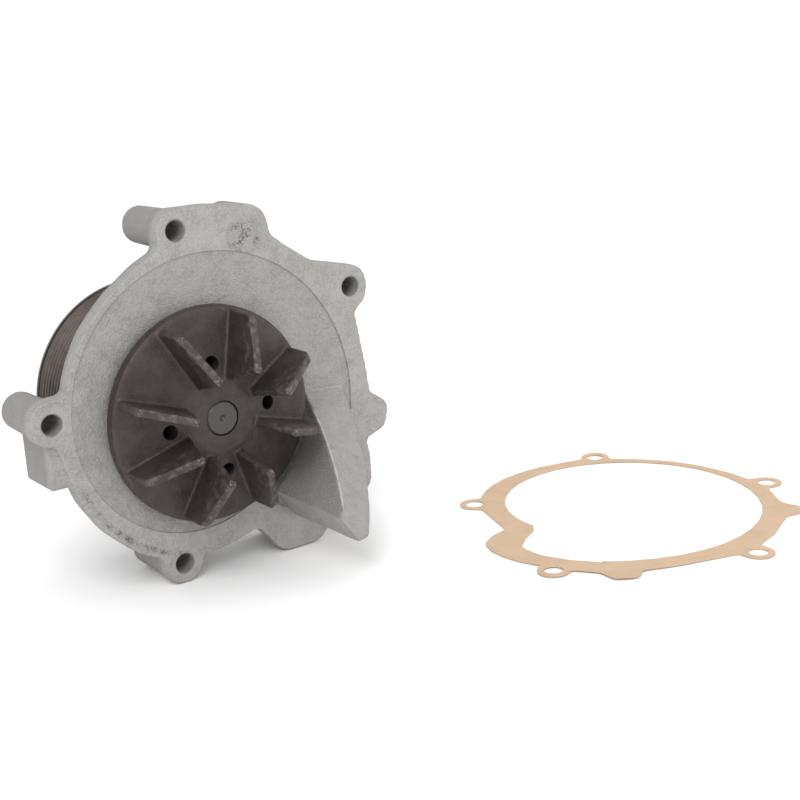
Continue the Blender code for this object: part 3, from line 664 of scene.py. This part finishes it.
def build_impeller(look):
    """Cast disc and vanes, with the shaft's bore and the balance holes drilled afterwards."""
    profile = [(0.0, HUB_FRONT), (18.5, HUB_FRONT), (21.0, HUB_FRONT - 0.8), (56.5, 10.8),
               (DISC_RADIUS, DISC_FRONT), (DISC_RADIUS, DISC_BACK), (0.0, DISC_BACK)]
    side = [(14.0, 6.0), (57.0, 6.0), (57.2, 29.0), (54.5, 33.0), (30.5, 46.5), (28.5, 45.8), (20.8, 18.5)]
    vanes = [plate(side, VANE_THICKNESS, math.radians(angle), "vane") for angle in VANE_ANGLES]
    disc = turned("disc", profile, 160, closed=False)
    solid = combined("impeller solid", disc, vanes, "UNION")
    body = dented(cast("impeller", solid, IMPELLER_VOXEL, 4), 0.15)
    bore = SHAFT_NOSE_RADIUS + GAP
    drill_back, drill_front = -5.0, 30.0
    cuts = [bar(0.0, 0.0, drill_back, drill_front, bore, bore, 96)]
    for k in range(BALANCE_HOLES):
        angle = math.radians(BALANCE_HOLE_TURN + 360.0 / BALANCE_HOLES * k)
        cuts.append(bar(BALANCE_HOLE_RING * math.cos(angle), BALANCE_HOLE_RING * math.sin(angle), drill_back,
                        drill_front, BALANCE_HOLE_RADIUS, BALANCE_HOLE_RADIUS))
    body = combined("impeller", body, cuts, "DIFFERENCE")
    add_piece("impeller_casting", body, look, "rotor", ["impeller"], 50.0)


def build_shaft(look):
    """Ground shaft: a nose with a centre mark, the bearing journal and the pulley's seat."""
    nose, journal, tail = SHAFT_NOSE_RADIUS, SHAFT_RADIUS, SHAFT_TAIL_RADIUS
    profile = [(0.0, 18.4), (1.2, 19.1), (1.7, SHAFT_FRONT - 0.2), (2.2, SHAFT_FRONT), (8.4, SHAFT_FRONT),
               (nose, SHAFT_FRONT - 0.9), (nose, -29.0), (journal, -30.5), (journal, -66.0), (tail, -66.2),
               (tail, SHAFT_BACK + 0.8), (tail - 0.8, SHAFT_BACK), (0.0, SHAFT_BACK)]
    add_piece("shaft_turned", turned("shaft", profile, 128, closed=False), look, "rotor",
              ["shaft"], 30.0)


def build_pulley(look):
    """Ribbed rim between two worn lips, on a web with four screw holes."""
    ribs_back = PULLEY_BACK + 1.6
    lip_highlight = PULLEY_RADIUS + 0.9
    profile = [(60.0, PULLEY_FRONT), (lip_highlight - 0.4, PULLEY_FRONT - 0.3), (lip_highlight, PULLEY_FRONT - 0.7),
               (lip_highlight, PULLEY_FRONT - 1.4)]
    for k in range(RIB_COUNT + 1):
        valley = ribs_back + (RIB_COUNT - k) * RIB_PITCH
        profile += [(PULLEY_RADIUS - RIB_DEPTH, valley + 0.25), (PULLEY_RADIUS - RIB_DEPTH, valley - 0.25)]
        if k < RIB_COUNT:
            middle = valley - RIB_PITCH / 2.0
            profile += [(PULLEY_RADIUS, middle + 0.3), (PULLEY_RADIUS, middle - 0.3)]
    profile += [(lip_highlight, PULLEY_BACK + 1.0), (lip_highlight, PULLEY_BACK + 0.4), (PULLEY_RADIUS - 1.5, PULLEY_BACK),
                (18.0, PULLEY_BACK), (18.0, PULLEY_BACK + 3.3), (53.0, PULLEY_BACK + 3.3),
                (55.1, PULLEY_BACK + 4.2), (56.0, PULLEY_BACK + 6.3), (56.0, PULLEY_FRONT)]
    drills = []
    for k in range(SCREW_COUNT):
        angle = math.radians(45.0 + 360.0 / SCREW_COUNT * k)
        drills.append(bar(SCREW_RING * math.cos(angle), SCREW_RING * math.sin(angle), -90.0, -60.0,
                          SCREW_HOLE_RADIUS, SCREW_HOLE_RADIUS))
    body = combined("pulley", turned("pulley", profile, 192), drills, "DIFFERENCE")
    add_piece("pulley_turned", body, look, "rotor", ["pulley"], 25.0)


# ---------------------------------------------------------------- gasket

def build_gasket(look):
    """The flat cut gasket, curled a little as loose paper is."""
    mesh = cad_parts["gasket"].data.copy()
    mesh.name = "gasket_sheet"
    work = bmesh.new()
    work.from_mesh(mesh)
    bmesh.ops.triangulate(work, faces=work.faces)
    longest = 4.0 * MM
    for _ in range(3):
        long_edges = [edge for edge in work.edges if edge.calc_length() > longest]
        bmesh.ops.subdivide_edges(work, edges=long_edges, cuts=1, use_grid_fill=False)
        bmesh.ops.triangulate(work, faces=work.faces)
    low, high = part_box("gasket")
    middle = (low + high) / 2.0
    half = (high - low) / 2.0
    for vertex in work.verts:
        u = (vertex.co.x - middle.x) / half.x
        v = (vertex.co.y - middle.y) / half.y
        lift = 1.2 * max(0.0, -u - v - 0.6) ** 2 + 0.8 * max(0.0, u * v) ** 2
        vertex.co.z += lift * MM
    work.to_mesh(mesh)
    work.free()
    mesh.materials.clear()
    mesh.materials.append(look)
    mesh.shade_smooth()
    mesh.set_sharp_from_angle(angle=math.radians(40.0))
    piece = new_object("gasket_sheet", mesh)
    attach(piece, "loose_gasket")
    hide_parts("gasket")


# ---------------------------------------------------------------- carried-over nodes

def dress(names, look, bevel_mm):
    """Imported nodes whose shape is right: a material, and finely broken edges."""
    for name in names:
        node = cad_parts[name]
        node.data.materials.clear()
        node.data.materials.append(look)
        node.data.shade_smooth()
        node.data.set_sharp_from_angle(angle=math.radians(35.0))
        if bevel_mm:
            edge = node.modifiers.new("broken edges", "BEVEL")
            edge.width = bevel_mm * MM
            edge.segments = 2
            edge.limit_method = "ANGLE"
            edge.angle_limit = math.radians(50.0)


# ---------------------------------------------------------------- stage

def build_stage():
    work = bmesh.new()
    bmesh.ops.create_grid(work, x_segments=1, y_segments=1, size=80.0)
    mesh = bpy.data.meshes.new("floor")
    work.to_mesh(mesh)
    work.free()
    floor = new_object("floor", mesh)
    floor.location.z = FLOOR_Z - 0.0002
    look = Look("pale floor", 0.9, 0.0)
    look.shader.inputs["Base Color"].default_value = (0.97, 0.97, 0.97, 1.0)
    mesh.materials.append(look.material)


def add_area_light(name, place, aim, size, power):
    lamp = bpy.data.lights.new(name, "AREA")
    lamp.shape = "DISK"
    lamp.size = size
    lamp.energy = power
    thing = bpy.data.objects.new(name, lamp)
    bpy.context.scene.collection.objects.link(thing)
    thing.location = place
    thing.rotation_euler = (Vector(aim) - Vector(place)).to_track_quat("-Z", "Y").to_euler()


def build_lights():
    world = bpy.data.worlds.new("studio")
    bpy.context.scene.world = world
    world.use_nodes = True
    world.node_tree.nodes["Background"].inputs["Color"].default_value = (1.0, 1.0, 1.0, 1.0)
    world.node_tree.nodes["Background"].inputs["Strength"].default_value = 1.05
    middle = (0.0, 0.0, 0.08)
    add_area_light("key", (-0.9, -0.9, 1.3), middle, 0.8, 11.0)
    add_area_light("fill", (1.2, -1.0, 0.9), middle, 1.0, 3.0)
    bpy.context.scene.view_settings.view_transform = "Standard"


def build_camera():
    data = bpy.data.cameras.new("camera")
    data.lens = 65.5
    data.sensor_width = 36.0
    data.clip_start = 0.01
    camera = bpy.data.objects.new("camera", data)
    bpy.context.scene.collection.objects.link(camera)
    right = Vector(CAMERA_RIGHT).normalized()
    look = Vector(CAMERA_LOOK).normalized()
    up = right.cross(look)
    turn = Matrix((right, up, -look)).transposed()
    camera.matrix_world = Matrix.Translation(CAMERA_PLACE) @ turn.to_4x4()
    bpy.context.scene.camera = camera


# ---------------------------------------------------------------- assembly

def main():
    build_camera()
    build_lights()
    build_stage()
    steel = steel_look("bearing steel", (0.42, 0.42, 0.42), (0.6, 0.6, 0.6), 0.3)
    zinc = steel_look("zinc plated steel", (0.5, 0.5, 0.48), (0.64, 0.63, 0.6), 0.38)
    brass = steel_look("machined brass", (0.55, 0.38, 0.13), (0.7, 0.5, 0.2), 0.34)
    rubber = rubber_look()
    build_housing(cast_aluminium_look())
    build_impeller(cast_iron_look())
    build_shaft(shaft_look())
    build_pulley(pulley_look())
    build_gasket(paper_look())
    balls = [f"bearing_ball_{k}" for k in range(1, 9)]
    rollers = [f"bearing_roller_{k}" for k in range(1, 10)]
    screws = [f"pulley_screw_{k}" for k in range(1, SCREW_COUNT + 1)]
    dress(balls, steel, 0.0)
    dress(rollers + ["bearing_outer_ring", "seal_cup", "pulley_hub"], steel, 0.15)
    dress(["seal_spring"], steel, 0.0)
    dress(screws, zinc, 0.3)
    dress(["ball_cage", "roller_cage"], brass, 0.1)
    dress(["bearing_seal_front", "bearing_seal_rear", "seat_boot", "slinger", "seal_bellows"], rubber,
          0.1)
    dress(["carbon_face"], carbon_look(), 0.1)
    dress(["seal_seat"], ceramic_look(), 0.1)


main()
